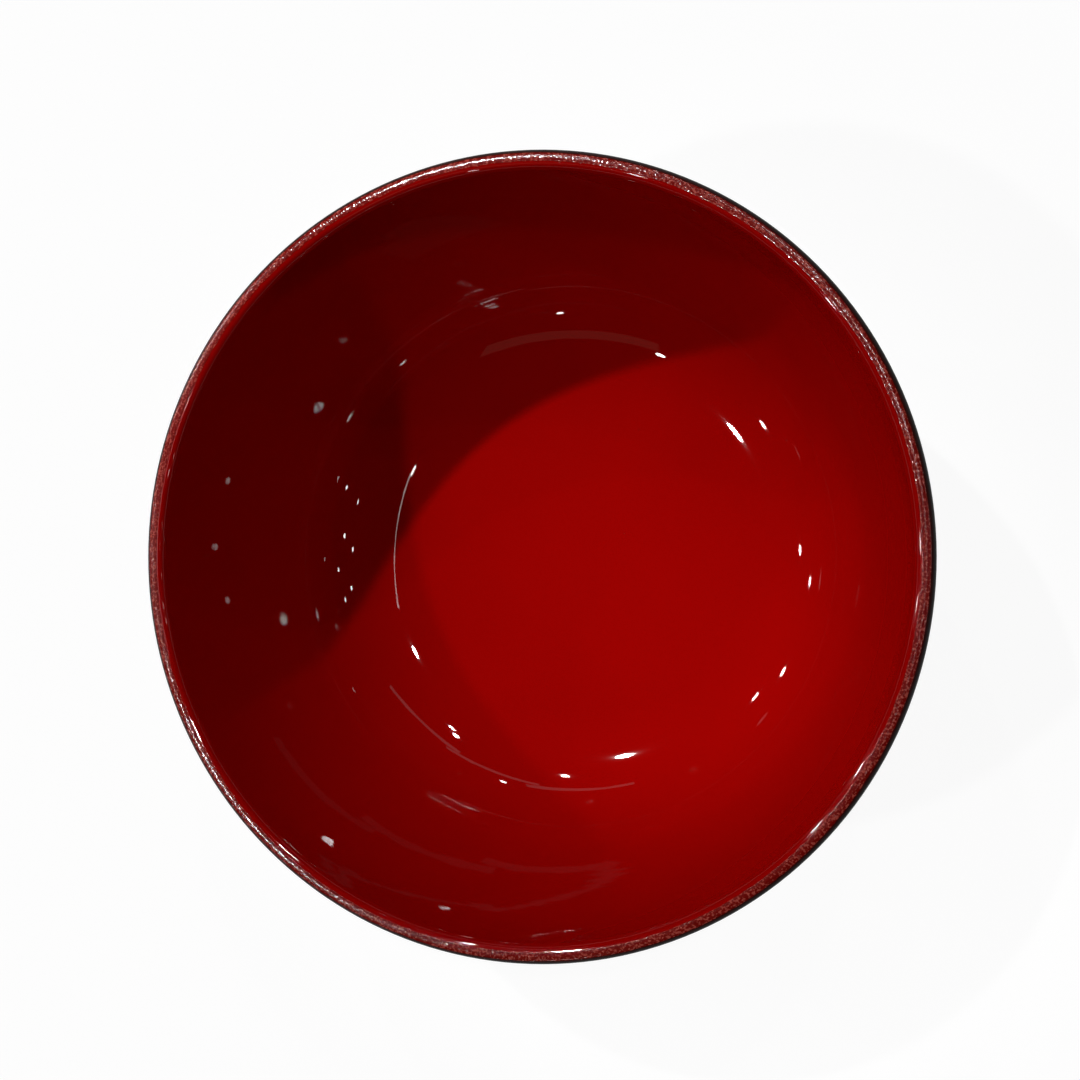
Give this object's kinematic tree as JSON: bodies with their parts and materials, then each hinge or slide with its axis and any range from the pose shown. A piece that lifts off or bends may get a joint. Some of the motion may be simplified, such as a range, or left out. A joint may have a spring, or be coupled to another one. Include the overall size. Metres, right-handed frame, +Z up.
{
  "type": "lacquered soup bowl",
  "caption": "Round footed bowl of turned wood with lacquer layers, glossy red inside and black outside, with a grained lip, for serving soup or rice.",
  "frame": {"origin": "middle of the foot ring on the surface the bowl stands on", "axes": "+Z up along the axis the bowl was turned on, X and Y across it"},
  "size_m": [0.12, 0.12, 0.059],
  "materials": {
    "wood": "bare turned wood",
    "cloth": "plain woven cloth set in lacquer",
    "ground": "matt filler of lacquer and mineral powder",
    "red_lacquer": "high gloss red lacquer",
    "lip_grain": "satin red lacquer with a fine sandy grain",
    "black_lacquer": "satin black lacquer",
    "foot_grain": "satin black lacquer with a fine sandy grain"
  },
  "bodies": {
    "root": {"wood_core": "wood", "lip_cloth": "cloth", "floor_cloth": "cloth", "foot_cloth": "cloth", "inner_ground": "ground", "outer_ground": "ground", "inner_red_coat": "red_lacquer", "lip_grain_coat": "lip_grain", "outer_black_coat": "black_lacquer", "foot_grain_coat": "foot_grain", "recess_coat": "black_lacquer"}
  },
  "joints": []
}
